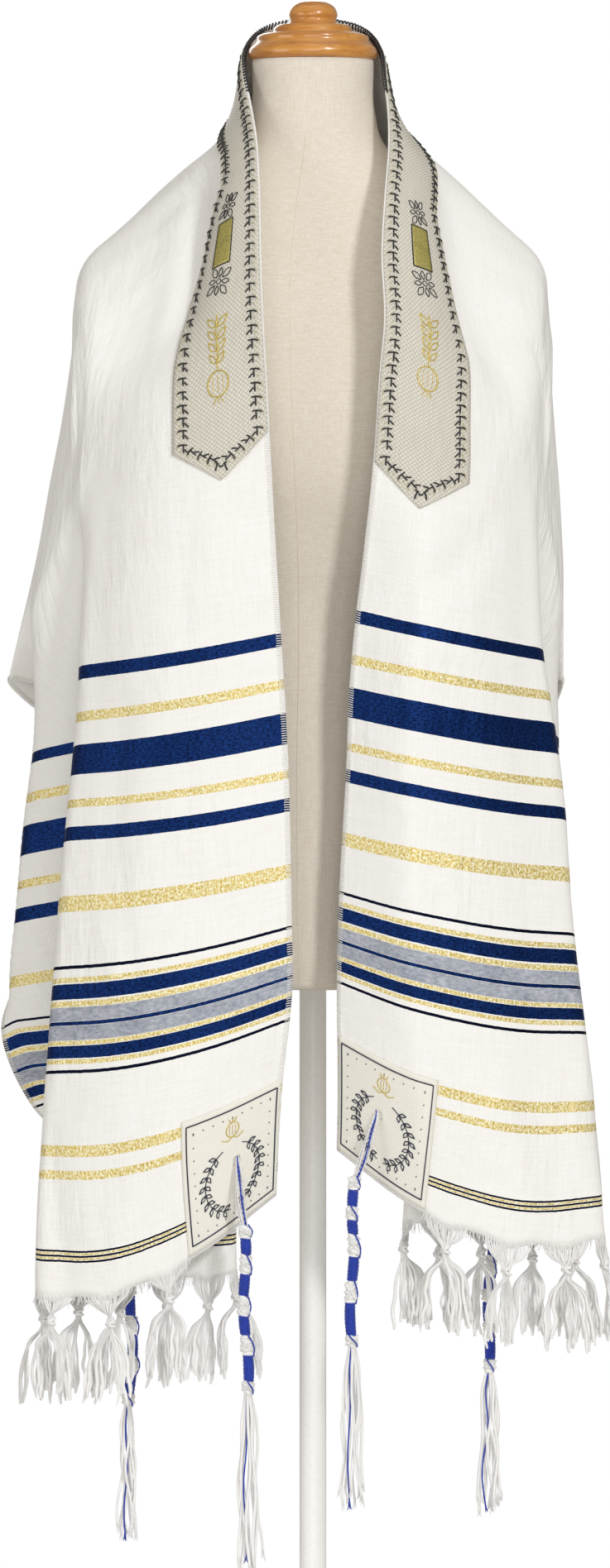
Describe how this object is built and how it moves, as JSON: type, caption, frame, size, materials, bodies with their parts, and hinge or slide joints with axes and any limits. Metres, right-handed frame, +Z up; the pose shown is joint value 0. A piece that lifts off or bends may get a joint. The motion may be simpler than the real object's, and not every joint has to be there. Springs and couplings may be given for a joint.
{
  "type": "tallit prayer shawl on a limbless dress form",
  "caption": "Fringed prayer shawl with woven stripes, neckband, corner patches and knotted corner tassels, draped over the shoulders of a limbless dress form on a stand.",
  "frame": {"origin": "centre of the underside of the stand's round base, on the floor", "axes": "+Z up, the shawl's open front faces -Y, the left half of the shawl as seen from the front lies towards -X"},
  "size_m": [0.4554, 0.3, 1.288],
  "materials": {
    "woven_cloth": "soft matt weave with navy, metallic gold and grey stripes",
    "brocade_band": "cream diamond-weave band with dark stitched edges",
    "brocade_patch": "cream woven patch with a dark border",
    "white_cord": "soft twisted white yarn, blue windings",
    "linen": "natural linen cover",
    "varnished_beech": "glossy honey varnish",
    "white_painted_steel": "satin white paint"
  },
  "bodies": {
    "root": {"shawl_back": "woven_cloth", "shawl_left_front": "woven_cloth", "shawl_left_side": "woven_cloth", "shawl_right_front": "woven_cloth", "shawl_right_side": "woven_cloth", "neckband_back": "brocade_band", "neckband_left": "brocade_band", "neckband_right": "brocade_band", "corner_patch_left_front": "brocade_patch", "corner_patch_left_rear": "brocade_patch", "corner_patch_right_front": "brocade_patch", "corner_patch_right_rear": "brocade_patch", "tassel_left_front": "white_cord", "tassel_left_rear": "white_cord", "tassel_right_front": "white_cord", "tassel_right_rear": "white_cord", "fringe_left": "white_cord", "fringe_right": "white_cord", "dress_form_torso": "linen", "neck_cap": "varnished_beech", "stand_pole": "white_painted_steel", "stand_base": "white_painted_steel"}
  },
  "joints": []
}
